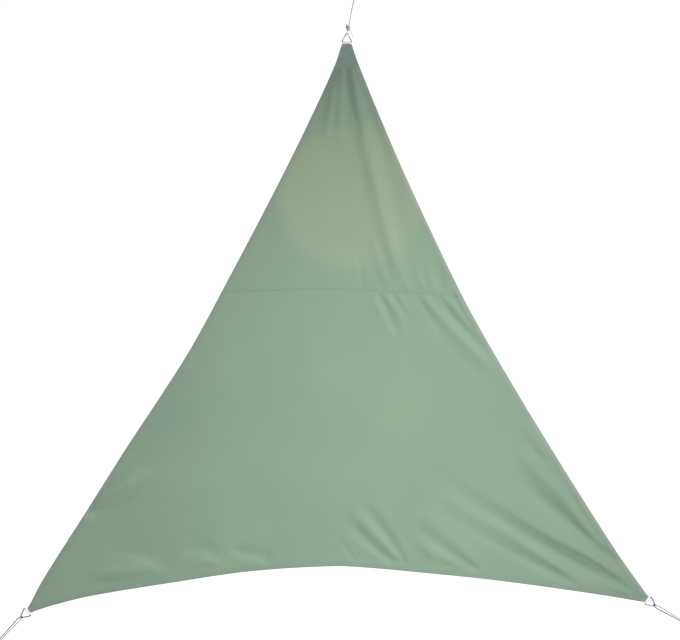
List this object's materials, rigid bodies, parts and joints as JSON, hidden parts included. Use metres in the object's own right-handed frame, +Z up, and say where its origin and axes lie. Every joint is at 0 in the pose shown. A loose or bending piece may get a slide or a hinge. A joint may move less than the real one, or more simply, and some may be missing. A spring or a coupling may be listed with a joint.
{
  "type": "triangular shade sail",
  "caption": "Triangular shade sail with drawn-in hemmed edges and a cross seam, hung by webbing loops, wire rings and ropes at its corners.",
  "frame": {"origin": "inside of the top ring's point, where the rope that holds the sail up bears on the wire", "axes": "+X to the right along the cloth's foot, +Y towards the back of the cloth, +Z up from the foot to the top corner"},
  "size_m": [3.3092, 0.0753, 3.1123],
  "materials": {
    "cloth": "sage green plain-weave polyester, matt, slightly see-through to light",
    "webbing": "white woven polyester webbing",
    "steel": "polished stainless wire",
    "rope": "light grey braided rope"
  },
  "bodies": {
    "root": {"upper_panel": "cloth", "lower_panel": "cloth", "top_webbing": "webbing", "left_webbing": "webbing", "right_webbing": "webbing", "top_ring": "steel", "left_ring": "steel", "right_ring": "steel", "top_knot": "rope", "top_rope": "rope", "left_rope": "rope", "right_rope": "rope", "top_end_knot": "rope", "left_end_knot": "rope", "right_end_knot": "rope"}
  },
  "joints": []
}
